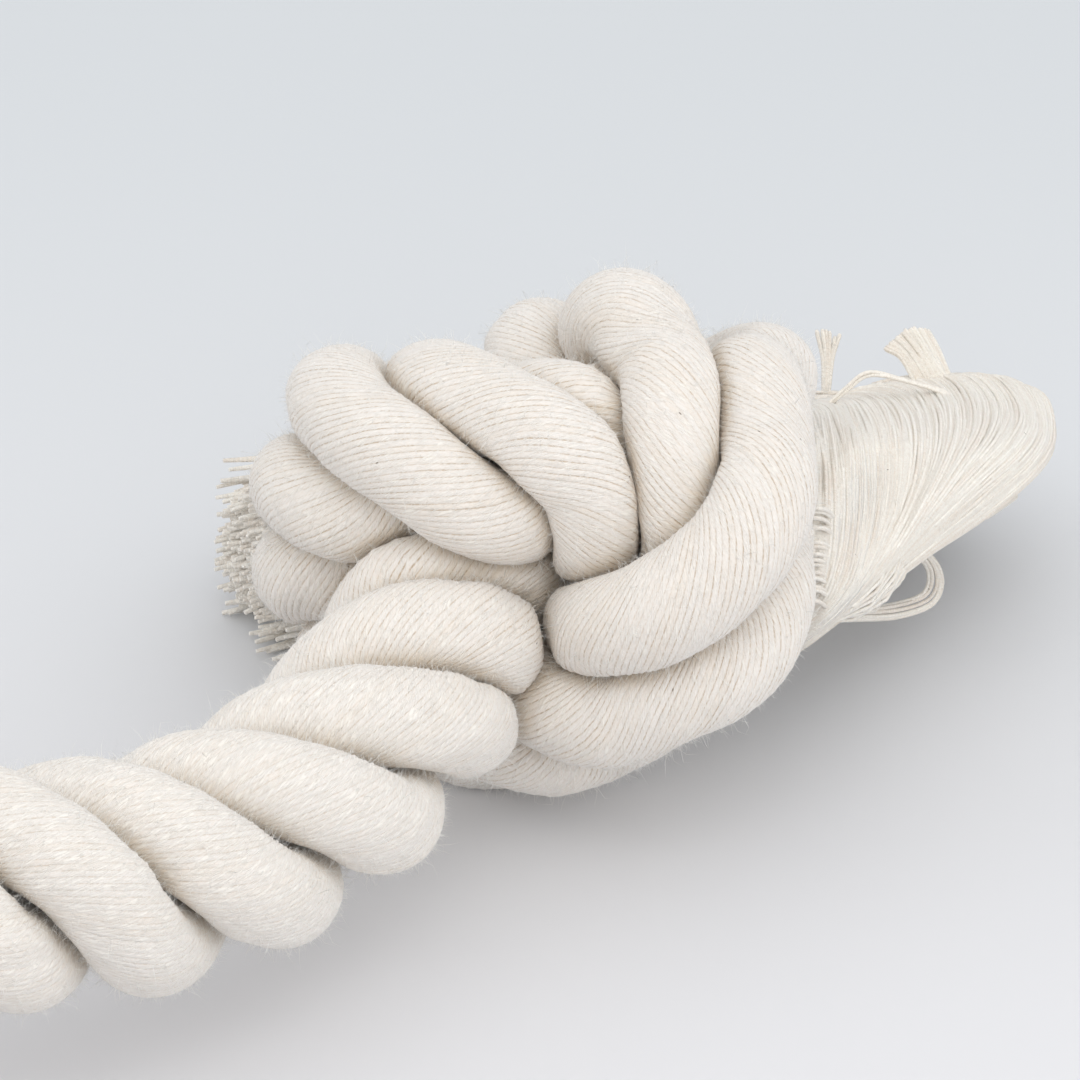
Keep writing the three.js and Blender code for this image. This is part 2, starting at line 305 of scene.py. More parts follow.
# Guide lines of the near tassel's outer yarns: the number of yarns and, edge to edge, the lines that they lie
# between
LOOSE_YARNS = {
    "fan": (500, [
        [[155, -16, 25.5], [154.5, -18.5, 31.5], [155, -19.5, 36.5], [156, -18.5, 42.5], [162, -12, 45],
         [164.5, -8, 49], [180, 10.5, 38.5], [195.5, 31.5, 26]],
        [[155, -17, 24.5], [157.5, -21, 29.5], [162, -21, 34], [169.5, -14.5, 38], [172.5, -10.5, 45.5],
         [185.5, 6.5, 38.5], [199.5, 25, 27], [203, 35.5, 21]],
        [[155.5, -17.5, 24], [160.5, -20.5, 29], [170.5, -18, 32.5], [184, -8.5, 33.5], [193, 0.5, 35],
         [205.5, 17, 28.5], [210.5, 28.5, 23.5], [208, 34.5, 21]],
        [[156.5, -16.5, 22.5], [163.5, -18.5, 27], [174.5, -17, 31.5], [191.5, -8, 34], [205, 3.5, 31.5],
         [215, 16.5, 27.5], [218.5, 26, 24.5], [215, 31.5, 22]],
        [[157.5, -15.5, 21], [166, -17, 26], [178, -15.5, 30], [194, -10.5, 31.5], [207, -5.5, 31.5],
         [217.5, 3.5, 29], [225, 16.5, 26], [224, 23, 23.5]],
        [[158.5, -14.5, 20], [168, -15.5, 24], [184, -13.5, 25.5], [200, -10.5, 26], [212, -7, 27],
         [219.5, -1, 27], [227, 9.5, 25.5], [227, 18, 24]],
    ]),
    "tuft": (90, [
        [[216, 21.5, 18.5], [216.5, 24, 22], [215.5, 26.5, 25.5], [215, 29, 28], [213.5, 31, 29]],
        [[217, 20, 19], [218, 22, 22.5], [218, 25, 26.5], [217.5, 28, 29.5], [217, 30, 31.5]],
        [[219.5, 19, 18.5], [220.5, 21, 22], [220.5, 24, 25.5], [220.5, 26.5, 28.5], [220, 28.5, 31]],
    ]),
    "wisp": (6, [
        [[206, 36, 19], [207, 37.5, 22], [208.5, 39.5, 25.5], [209, 42, 29.5]],
        [[206, 36, 19], [208, 37, 22], [210, 38.5, 25.5], [212, 39, 28.5]],
    ]),
    "stray": (2, [
        [[196.5, 25, 28], [200, 24.5, 30.5], [203.5, 23.5, 32.5], [208.5, 21, 30.5], [213, 16.5, 29],
         [211.5, 11, 28.5]],
        [[196.5, 25, 27.5], [200, 24, 30], [204, 23, 32], [209, 20, 30.5], [213, 15.5, 28.5], [211.5, 10.5, 28]],
    ]),
    "loop": (5, [
        [[169.5, -9.5, 18], [177, -7, 13.5], [186, -5.5, 9.5], [192.5, -6, 9.5], [194.5, -6, 13],
         [192, -6, 18.5], [184.5, -7, 24.5]],
        [[170.5, -9, 20], [178, -6, 15.5], [186, -4.5, 12.5], [190.5, -5, 12.5], [191.5, -5, 15], [189, -6, 19],
         [182.5, -8, 25.5]],
    ]),
    "crimp": (16, [
        [[158, -14.5, 44.5], [158, -17.5, 46], [160, -17.5, 45], [163, -16, 42]],
        [[154, -19, 31.5], [154, -21.5, 33], [155.5, -22, 32.5], [158.5, -21, 29.5]],
    ]),
}
# Turns a point half round about the upright line through the middle of the toy
HALF_TURN = np.array([-1.0, -1.0, 1.0])
UP = np.array([0.0, 0.0, 1.0])
MM = 0.001

hinge = {joint["name"]: np.array(joint["pos_m"]) for joint in frame["joints"]}
rng = np.random.default_rng(7)


def in_frame(points):
    """Route millimetres to frame metres: the hinge of the rope sits on the middle of its route. Nothing
    reaches below the table."""
    placed = hinge["rope_bend"] + (points - ROUTE[0, :3]) * MM
    placed[..., 2] = np.maximum(placed[..., 2], 0.0)
    return placed


def smoothstep(x):
    """Rises from 0 to 1 as 3 x^2 - 2 x^3 between 0 and 1."""
    x = np.clip(x, 0.0, 1.0)
    return x * x * (3.0 - 2.0 * x)


def eased(x, start, length):
    """Rises smoothly from 0 at a start to 1 a length further on."""
    return smoothstep((x - start) / length)


def unit(vectors):
    """Vectors at length 1."""
    return vectors / np.linalg.norm(vectors, axis=-1, keepdims=True)


def catmull(rows, t):
    """Catmull-Rom curve through rows of numbers at places t, counted in rows: between rows p1 and p2 it is
    0.5 (2 p1 + (p2 - p0) u + (2 p0 - 5 p1 + 4 p2 - p3) u^2 + (3 p1 - p0 - 3 p2 + p3) u^3)."""
    padded = np.vstack([2 * rows[0] - rows[1], rows, 2 * rows[-1] - rows[-2]])
    i = np.clip(np.floor(t).astype(int), 0, len(rows) - 2)
    u = (t - i)[:, None]
    p0, p1, p2, p3 = (padded[i + n] for n in range(4))
    bend = (2 * p0 - 5 * p1 + 4 * p2 - p3) * u**2
    return 0.5 * (2 * p1 + (p2 - p0) * u + bend + (3 * p1 - p0 - 3 * p2 + p3) * u**3)


def lengths(points):
    """Length along a row of points up to each one."""
    return np.r_[0.0, np.cumsum(np.linalg.norm(np.diff(points[:, :3], axis=0), axis=1))]


def evenly(rows, step, start=0):
    """Rows of a Catmull-Rom curve at equal lengths of about one step, from its row number start to its end."""
    t = np.linspace(start, len(rows) - 1, ROUTE_DIVISIONS * (len(rows) - 1 - start) + 1)
    s = lengths(catmull(rows, t))
    count = int(round(s[-1] / step))
    return catmull(rows, np.interp(np.linspace(0, s[-1], count + 1), s, t)), s[-1] / count


def tangents_of(points):
    """Directions along a row of points, from each point's neighbours."""
    return unit(np.gradient(points, axis=0))


def carried_normals(tangents, first):
    """Directions square to a row of tangents, carried without twist: n - (n.t1)/(1 + t0.t1) (t0 + t1)."""
    normals = np.empty_like(tangents)
    normals[0] = unit(first - tangents[0] * (first @ tangents[0]))
    for i in range(1, len(tangents)):
        before, now, normal = tangents[i - 1], tangents[i], normals[i - 1]
        normals[i] = unit(normal - (before + now) * (normal @ now) / (1 + before @ now))
    return normals


def tightness(along):
    """1 in the free stretch of the rope, 0 in its knots, by the length along the rope from its middle."""
    return smoothstep((SETTLE_START + SETTLE_BLEND - along) / SETTLE_BLEND)


def lay_strands():
    """Strands laid round the rope's line from the middle of the toy to the end of the knot: centre +
    lay radius (cos a n + sin a b), with the angle a read from the route. Rows of strands, points, xyz."""
    other_half = ROUTE[:0:-1] * [-1, -1, 1, -1] + [0, 0, 0, 2 * ROUTE[0, 3]]
    rows = np.vstack([other_half, ROUTE])
    line, step = evenly(rows, STEP, len(ROUTE) - 1)
    centres = line[:, :3]
    tangents = tangents_of(np.vstack([centres[1] * HALF_TURN, centres]))[1:]
    normals = carried_normals(tangents, UP)
    sideways = np.cross(tangents, normals)
    angle = np.radians(line[:, 3] + (360 / STRANDS) * np.arange(STRANDS)[:, None])[..., None]
    tight = tightness(np.arange(len(line)) * step)[:, None]
    radius = LAY_RADIUS + (TIGHT_LAY_RADIUS - LAY_RADIUS) * tight
    return centres + radius * (np.cos(angle) * normals + np.sin(angle) * sideways), centres, step


def pulled(laid, step):
    """Laid strands drawn aside by the pulls of the tightened knot, each fading along its strand as
    exp(-(distance / fading length)^2)."""
    moved = laid.copy()
    along = np.arange(laid.shape[1]) * step
    for k, place, fading, *pull in PULLS:
        moved[int(k)] += np.exp(-(((along - place) / fading) ** 2))[:, None] * pull
    return moved


def settle_strands(laid, step):
    """Strands pushing each other aside in the knot: in each round a point moves towards the middle of its
    neighbours, then half of its overlaps with other lengths of strand, then a little towards its laid place."""
    kinds, count, _ = laid.shape
    s = np.arange(count) * step
    hold = np.maximum(tightness(s), smoothstep(1 - (s[-1] - s) / TAIL))[None, :, None]
    strand = np.repeat(np.arange(kinds), count)
    place = np.tile(np.arange(count), kinds)
    own = (strand[:, None] == strand) & (abs(place[:, None] - place) < OWN_LENGTH / step)
    points = laid.copy()
    for _ in range(SETTLE_ROUNDS):
        middle = (points[:, :-2] + points[:, 2:]) / 2
        points[:, 1:-1] += (SMOOTHING * (1 - hold[:, 1:-1])) * (middle - points[:, 1:-1])
        flat = points.reshape(-1, 3)
        apart = flat[:, None] - flat
        distance = np.linalg.norm(apart, axis=-1) + own * FAR_OFF
        overlap = np.maximum(2 * PRESS_RADIUS - distance, 0.0)
        push = (apart * (overlap / distance)[..., None]).sum(1)
        touching = np.maximum((overlap > 0).sum(1) / 2, 1.0)
        points = (flat + 0.5 * push / touching[:, None]).reshape(laid.shape)
        points += np.maximum(MEMORY, hold) * (laid - points)
    return points


def turned(vectors, axes, angles):
    """Vectors turned about axes by angles: v cos a + (k x v) sin a + k (k.v) (1 - cos a)."""
    cos, sin = np.cos(angles)[:, None], np.sin(angles)[:, None]
    along = (vectors * axes).sum(-1, keepdims=True)
    return vectors * cos + np.cross(axes, vectors) * sin + axes * along * (1 - cos)


def spread_locks(route, exits):
    """Centre lines of a tassel's locks: the strands leave the knot as they are laid, turn on ever slower and
    spread until they lie side by side. Rows of locks, points, xyz, without the exits themselves."""
    centres, step = evenly(route, STEP)
    tangents = tangents_of(centres)
    open_share = np.minimum(np.arange(len(centres)) * step / OPENING, 1.0)
    turn = np.radians(UNLAY) * (1 - (1 - open_share) ** UNLAY_HASTE)
    left = unit(np.cross(UP, tangents))
    spread = smoothstep(open_share)[:, None]
    locks = []
    for k, slot in enumerate(LOCK_SLOTS):
        laid = np.broadcast_to(exits[k] - centres[0], centres.shape)
        offset = turned(laid, tangents, turn) * (1 - spread) + left * slot * LOCK_WIDTH * spread
        locks.append((centres + offset)[1:])
    return np.array(locks)


def whole_strands():
    """Each strand from the cut end of the far tassel to that of the near one, with the places of its cuts: the
    ends of the tassels, the knots and the free stretch. The far half is the near one turned half round."""
    laid, centres, step = lay_strands()
    settled = settle_strands(pulled(laid, step), step)
    near = spread_locks(NEAR_TASSEL, settled[:, -1])
    far = spread_locks(FAR_TASSEL, settled[:, -1])
    neck = int(round(NECK / step))
    knot = settled.shape[1] - 1
    strands = []
    for k in range(STRANDS):
        partner = STRANDS - 1 - k
        far_half = np.vstack([settled[partner, 1:], far[partner]])[::-1] * HALF_TURN
        points = np.vstack([far_half, settled[k], near[k]])
        middle = len(far_half)
        cuts = [0, middle - knot, middle - neck, middle + neck, middle + knot, len(points) - 1]
        from_middle = abs(np.arange(len(points)) - middle) * step
        strands.append({"points": points, "cuts": cuts, "from_middle": from_middle})
    line = np.vstack([centres[neck:0:-1] * HALF_TURN, centres[: neck + 1]])
    return strands, line


def even_places(rows, step, first, last):
    """Places along a Catmull-Rom curve, counted in rows, at equal lengths of about one step."""
    t = np.linspace(first, last, ROUTE_DIVISIONS * (last - first) + 1)
    s = lengths(catmull(rows, t))
    count = int(round(s[-1] / step))
    return np.interp(np.linspace(0, s[-1], count + 1), s, t)


def neighbour_points():
    """Points close together along all strands, with the strand and the place along it of each."""
    places = [np.arange(0, len(strand["points"]) - 1, 1 / FINE) for strand in strands]
    points = [catmull(strand["points"], place) for strand, place in zip(strands, places)]
    strand_of_each = np.repeat(np.arange(STRANDS), [len(p) for p in places])
    return np.vstack(points), strand_of_each, np.concatenate(places)


def reach(k, places, centres, directions, free):
    """How far a strand reaches from its centres in given directions: its free radius or the distance to the
    plane halfway to a neighbour, |d|^2 / (2 n.d) for a neighbour at d, rounded into each other. Rows of rings,
    directions. Also returns that distance by itself."""
    limit = np.full(free.shape, np.inf)
    for start in range(0, len(centres), CHUNK):
        part = slice(start, start + CHUNK)
        offset = near_points - centres[part, None]
        apart = np.linalg.norm(offset, axis=-1)
        own = (near_strand == k) & (abs(near_place - places[part, None]) * STEP < OWN_LENGTH)
        apart[own] = np.inf
        closest = np.argpartition(apart, NEAREST, axis=1)[:, :NEAREST]
        offset = np.take_along_axis(offset, closest[..., None], axis=1)
        square = np.take_along_axis(apart, closest, axis=1) ** 2
        towards = np.einsum("rnx,rdx->rnd", offset, directions[part])
        halfway = np.where(towards > TINY, square[..., None] / (2 * np.maximum(towards, TINY)), np.inf)
        limit[part] = halfway.min(1)
    limit = np.minimum(limit - GAP / 2, free + 2 * ROUNDING)
    share = np.clip(0.5 + 0.5 * (limit - free) / ROUNDING, 0, 1)
    return limit * (1 - share) + free * share - ROUNDING * share * (1 - share), limit


def waves(lines, along, longest, count=4):
    """Smooth random swings, one row for each line, as a sum of sines of ever shorter length along it. Mean 0,
    mostly within -1 and 1."""
    total = np.zeros((lines, len(along)))
    for i in range(count):
        length = longest * SINE_LENGTH**i * rng.uniform(*SINE_SPREAD, (lines, 1))
        phase = rng.uniform(0, 2 * np.pi, (lines, 1))
        total += SINE_HEIGHT**i * np.sin(2 * np.pi * along / length + phase)
    return total / SINE_SUM


def strand_skin(k):
    """The skin of one strand from knot to knot as rings of points: centre + radius x direction. The columns
    turn with the strand's twist, three to a yarn, so that each yarn runs along the grid as a low ridge."""
    points, cuts = strands[k]["points"], strands[k]["cuts"]
    places = even_places(points, RING_STEP, cuts[1], cuts[4])
    centres = catmull(points, places)
    tangents = tangents_of(centres)
    normals = carried_normals(tangents, UP)
    sideways = np.cross(tangents, normals)
    along = lengths(centres)
    columns = YARNS * YARN_POINTS
    angle = 2 * np.pi * (np.arange(columns) / columns - along[:, None] / YARN_LAY)[..., None]
    directions = np.cos(angle) * normals[:, None] + np.sin(angle) * sideways[:, None]
    lump = columns // LUMPS
    lumps = LUMP_HEIGHT * waves(LUMPS, along, LUMP_LENGTH).repeat(lump, axis=0).T
    lumps = sum(np.roll(lumps, shift, 1) for shift in range(lump)) / lump
    tight = tightness(np.interp(places, np.arange(len(points)), strands[k]["from_middle"]))
    own_radius = STRAND_RADIUS + (TIGHT_RADIUS - STRAND_RADIUS) * tight[:, None]
    own_radius = np.broadcast_to(own_radius, angle.shape[:2])
    radius, limit = reach(k, places, centres, directions, own_radius)
    profile = np.tile(YARN_PROFILE, YARNS)
    swing = waves(YARNS, along, GAP_LENGTH).T.repeat(YARN_POINTS, axis=1)
    open_gap = np.where(np.arange(columns) % YARN_POINTS == 0, np.maximum(swing, 0) * GAP_DEPTH, 0)
    proud = PROUD * waves(YARNS, along, PROUD_LENGTH).T.repeat(YARN_POINTS, axis=1)
    proud[:, ::YARN_POINTS] = 0
    free = smoothstep((limit - own_radius) / ROUNDING + FREE_START)
    # where a neighbour lies close, the material paints a warm shade into the creases
    crease = smoothstep(1 - (limit - own_radius) / CREASE_SHADE_WIDTH)
    ridge = RIDGE * (PRESSED_RIDGE + (1 - PRESSED_RIDGE) * free)
    radius = radius + lumps + ridge * (profile - open_gap + proud)
    rings = centres[:, None] + radius[..., None] * directions
    round_it = np.roll(rings, -1, 1) - np.roll(rings, 1, 1)
    normals = unit(np.cross(round_it, np.gradient(rings, axis=0)))
    cut_rings = np.searchsorted(places, cuts[1:5])
    return {"rings": rings, "normals": normals, "along": along, "free": free, "crease": crease,
            "worn": np.broadcast_to(tight[:, None], free.shape), "tangents": tangents, "cuts": cut_rings}


def tubes(rings, u_step, v):
    """Closed tubes from rings of points, rows of tubes, rings, points, xyz, with a fan at each end. Returns
    points, corners of the faces, corner counts and the corners' UV: u counts yarns and v is millimetres."""
    many, count, sides, _ = rings.shape
    tips = rings[:, [0, -1]].mean(2)
    points = np.vstack([rings.reshape(-1, 3), tips.reshape(-1, 3)])
    tube, ring, side = np.meshgrid(range(many), range(count - 1), range(sides), indexing="ij")
    after = (side + 1) % sides
    base = (tube * count + ring) * sides
    quads = np.stack([base + side, base + after, base + sides + after, base + sides + side], -1).reshape(-1, 4)
    first = tube * sides * u_step
    u = np.stack([first + side * u_step, first + (side + 1) * u_step] * 2, -1)[..., [0, 1, 3, 2]]
    v_low, v_high = v[tube, ring], v[tube, ring + 1]
    v_corner = np.stack([v_low, v_low, v_high, v_high], -1)
    tube, side = np.meshgrid(range(many), range(sides), indexing="ij")
    after = (side + 1) % sides
    start, end = tube * count * sides, (tube * count + count - 1) * sides
    tip = many * count * sides + 2 * tube
    fans = np.concatenate([np.stack([tip, start + after, start + side], -1),
                           np.stack([tip + 1, end + side, end + after], -1)]).reshape(-1, 3)
    fan_u = np.repeat(((tube * sides + side + 0.5) * u_step)[None], 2, 0)
    fan_v = np.stack([np.broadcast_to(v[:, :1], tube.shape), np.broadcast_to(v[:, -1:], tube.shape)])
    fan_uv = np.stack([fan_u, fan_v], -1).reshape(-1, 1, 2).repeat(3, 1)
    uv = np.vstack([np.stack([u, v_corner], -1).reshape(-1, 2), fan_uv.reshape(-1, 2)])
    corners = np.r_[quads.ravel(), fans.ravel()]
    sizes = np.r_[np.full(len(quads), 4), np.full(len(fans), 3)]
    return points, corners, sizes, uv


def joined(shapes):
    """Several shapes as one: their points, corners, corner counts and UV one after another."""
    starts = np.cumsum([0] + [len(shape[0]) for shape in shapes])
    corners = [shape[1] + start for shape, start in zip(shapes, starts)]
    return (np.vstack([shape[0] for shape in shapes]), np.concatenate(corners),
            np.concatenate([shape[2] for shape in shapes]), np.vstack([shape[3] for shape in shapes]))


def piece(name, shape, material, normals=None, marks=None):
    """A mesh object in the frame from points in millimetres, corners of its faces, corner counts and UV, shaded
    by the faces' own normals or by a given one for each point, with named values for each point."""
    points, corners, sizes, uv = shape
    mesh = bpy.data.meshes.new(name)
    mesh.vertices.add(len(points))
    mesh.vertices.foreach_set("co", in_frame(points).ravel())
    mesh.loops.add(len(corners))
    mesh.loops.foreach_set("vertex_index", corners.astype(np.int32))
    mesh.polygons.add(len(sizes))
    mesh.polygons.foreach_set("loop_start", np.r_[0, np.cumsum(sizes)[:-1]].astype(np.int32))
    mesh.update(calc_edges=True)
    mesh.uv_layers.new(name="UVMap").uv.foreach_set("vector", uv.ravel())
    mesh.shade_smooth()
    if normals is not None:
        mesh.normals_split_custom_set_from_vertices(normals)
    for mark, values in (marks or {}).items():
        mesh.attributes.new(mark, "FLOAT", "POINT").data.foreach_set("value", values.astype(np.float32))
    mesh.materials.append(material)
    made = bpy.data.objects.new(name, mesh)
    bpy.context.scene.collection.objects.link(made)
    return made


def yarn_tubes(paths, radius, sides):
    """Round yarns along rows of points: rows of yarns, points, xyz, with one radius or one for each ring. Each
    ring stands square to its path, and the rings at the ends shrink to blunt tips."""
    tangents = unit(np.gradient(paths, axis=1))
    normals = np.empty_like(tangents)
    start = np.where(abs(tangents[:, :1, 2:]) < 0.9, UP, [1.0, 0.0, 0.0])[:, 0]
    normals[:, 0] = unit(start - tangents[:, 0] * (start * tangents[:, 0]).sum(-1, keepdims=True))
    for i in range(1, paths.shape[1]):
        before, now, normal = tangents[:, i - 1], tangents[:, i], normals[:, i - 1]
        lean = (normal * now).sum(-1, keepdims=True) / (1 + (before * now).sum(-1, keepdims=True))
        normals[:, i] = unit(normal - (before + now) * lean)
    sideways = np.cross(tangents, normals)
    angle = 2 * np.pi * np.arange(sides) / sides
    round_it = normals[:, :, None] * np.cos(angle)[:, None] + sideways[:, :, None] * np.sin(angle)[:, None]
    thickness = np.full(paths.shape[:2], 1.0) * radius
    thickness[:, [0, -1]] *= YARN_TIP
    return paths[:, :, None] + round_it * thickness[..., None, None]


def lock_yarns(k, first, last, rings, lift, gather, tips):
    """Yarns of one combed-out strand, spread over its section as sunflower seeds are: they leave the knot
    with the strand's twist, lose it, and fill an upright ellipse that flares towards their cut ends. On the way
    the tassel lifts off the table, and its ends draw in towards each other and stop at unequal lengths, tips."""
    share = np.linspace(0, 1, rings) ** RING_CROWDING
    places = first + (last - first) * share
    centres = catmull(strands[k]["points"], places)
    tangents = tangents_of(centres)
    along = lengths(centres)
    frayed = eased(share, *FRAYING)
    drawn = eased(share, *DRAWING)[:, None]
    lifted = (eased(along, *LIFTING) - eased(along, *LANDING))[:, None]
    left = unit(np.cross(UP, tangents))
    centres = centres + lift * (lifted + drawn) * UP - gather * LOCK_SLOTS[k] * drawn * left
    upright = unit(UP - tangents * tangents[:, 2:])
    sideways = np.cross(tangents, upright)
    spread = smoothstep(along / OPENING)
    flare = 1 + (LOCK_FLARE - 1) * share**2
    width = STRAND_RADIUS + (flare * LOCK_WIDTH / 2 - STRAND_RADIUS) * spread
    height = STRAND_RADIUS + (flare * LOCK_HEIGHT / 2 - STRAND_RADIUS) * spread - lift * lifted[:, 0] / 2
    untwist = np.minimum(along, 2 * OPENING)
    turn = 2 * np.pi / YARN_LAY * (untwist - untwist**2 / (4 * OPENING))
    seed = np.arange(LOCK_YARNS)
    angle = seed * GOLDEN_ANGLE - np.sign(last - first) * turn[:, None]
    across = (upright[:, None] * (np.cos(angle) * height[:, None])[..., None]
              + sideways[:, None] * (np.sin(angle) * width[:, None])[..., None])
    free = np.linalg.norm(across, axis=-1)
    radius, _ = reach(k, places, centres, across / free[..., None], free)
    out = np.sqrt((seed + 0.5) / LOCK_YARNS)
    paths = centres[:, None] + across / free[..., None] * (radius * out)[..., None]
    paths = paths.transpose(1, 0, 2)
    loose = eased(along, *LOOSENING)
    clump = (seed * GOLDEN_ANGLE / (2 * np.pi) % 1 * CLUMPS).astype(int)
    for axis in (upright, sideways):
        swing = waves(LOCK_YARNS, along, SWING_LENGTH) + CLUMP_SWING * waves(CLUMPS, along, CLUMP_LENGTH)[clump]
        paths += axis * (YARN_SWING * swing * loose)[..., None]
        paths += axis[-1] * (rng.normal(0, CLUMP_SPREAD, CLUMPS)[clump, None] * frayed**2)[..., None]
    end = unit(tangents[-1] + TIP_SCATTER * rng.normal(size=(LOCK_YARNS, 3)))
    end = end * rng.uniform(*tips, (LOCK_YARNS, 1))
    paths += end[:, None] * frayed[:, None]
    paths[..., 2] = np.maximum(paths[..., 2], LOWEST_YARN)
    return paths, along, YARN_RADIUS * (1 + TIP_SWELL * frayed)


def sheet_yarns(lines, count):
    """Yarns in a sheet between guide lines, rows of lines, points, xyz: a Catmull-Rom curve across the lines gives
    each yarn's points and one along those its path, sunk at random into the sheet and waving a little."""
    guides, stops, _ = lines.shape
    across = (np.arange(count) + rng.uniform(0, 1, count)) / count * (guides - 1)
    yarns = catmull(lines.reshape(guides, -1), across).reshape(count, stops, 3)
    rows = yarns.transpose(1, 0, 2).reshape(stops, -1)
    paths = catmull(rows, np.linspace(0, stops - 1, SHEET_RINGS)).reshape(SHEET_RINGS, count, 3)
    paths = paths.transpose(1, 0, 2)
    along = lengths(paths[count // 2])
    for axis in np.eye(3):
        paths = paths + axis * (SHEET_SWING * waves(count, along, SWING_LENGTH, SHEET_SINES))[..., None]
    return paths - UP * rng.uniform(0, SHEET_DEPTH, (count, 1, 1)), along, YARN_RADIUS


def hairs(points, outward, length, bent):
    """Fine fibres standing off a surface: closed three-sided spikes, straight or with a bent middle, one at each
    of the given points, leaning at random between the outward direction and the surface."""
    count = len(points)
    lean = unit(outward + HAIR_LEAN * rng.normal(size=(count, 3)))
    lean = unit(lean + outward * np.maximum(LEAST_RISE - (lean * outward).sum(-1, keepdims=True), 0))
    size = length * (SHORTEST + (1 - SHORTEST) * rng.uniform(0, 1, (count, 1)) ** SHORT_SHARE)
    side = unit(np.cross(lean, rng.normal(size=(count, 3))))
    other = np.cross(lean, side)
    angle = 2 * np.pi * np.arange(3) / 3
    ring = HAIR_RADIUS * (side[:, None] * np.cos(angle)[:, None] + other[:, None] * np.sin(angle)[:, None])
    root = (points - outward * HAIR_ROOT)[:, None] + ring
    if bent:
        middle = points + lean * size * 0.5
        tip = middle + unit(lean + HAIR_BEND * rng.normal(size=(count, 3))) * size * 0.5
        stops = [root, middle[:, None] + ring * HAIR_TAPER, tip[:, None]]
        faces = [[2, 1, 0], [0, 1, 4], [0, 4, 3], [1, 2, 5], [1, 5, 4], [2, 0, 3], [2, 3, 5],
                 [3, 4, 6], [4, 5, 6], [5, 3, 6]]
    else:
        stops = [root, (points + lean * size)[:, None]]
        faces = [[2, 1, 0], [0, 1, 3], [1, 2, 3], [2, 0, 3]]
    shape = np.concatenate(stops, axis=1)
    corners = (np.arange(count)[:, None, None] * shape.shape[1] + faces).ravel()
    return shape.reshape(-1, 3), corners, np.full(count * len(faces), 3), np.zeros((len(corners), 2))


def node(tree, kind, inputs=None, **settings):
    """A shader node with its settings, and with each named input set to a value or linked from a socket."""
    made = tree.nodes.new(kind)
    for name, value in settings.items():
        setattr(made, name, value)
    for name, value in (inputs or {}).items():
        if isinstance(value, bpy.types.NodeSocket):
            tree.links.new(value, made.inputs[name])
        else:
            made.inputs[name].default_value = value
    return made


def calc(tree, operation, a, b=0.0, clamp=False):
    """The result of one sum or function of two numbers or sockets."""
    return node(tree, "ShaderNodeMath", {0: a, 1: b}, operation=operation, use_clamp=clamp).outputs[0]


def ramp(tree, value, low, high):
    """Rises smoothly from 0 to 1 as the value goes from low to high."""
    inputs = {"Value": value, "From Min": low, "From Max": high}
    return node(tree, "ShaderNodeMapRange", inputs, interpolation_type="SMOOTHSTEP").outputs["Result"]


def mixed(tree, share, a, b):
    """One colour or socket turning into another as the share goes from 0 to 1."""
    made = node(tree, "ShaderNodeMix", {"Factor": share}, data_type="RGBA")
    for socket, value in ((made.inputs[6], a), (made.inputs[7], b)):
        if isinstance(value, bpy.types.NodeSocket):
            tree.links.new(value, socket)
        else:
            socket.default_value = value
    return made.outputs[2]


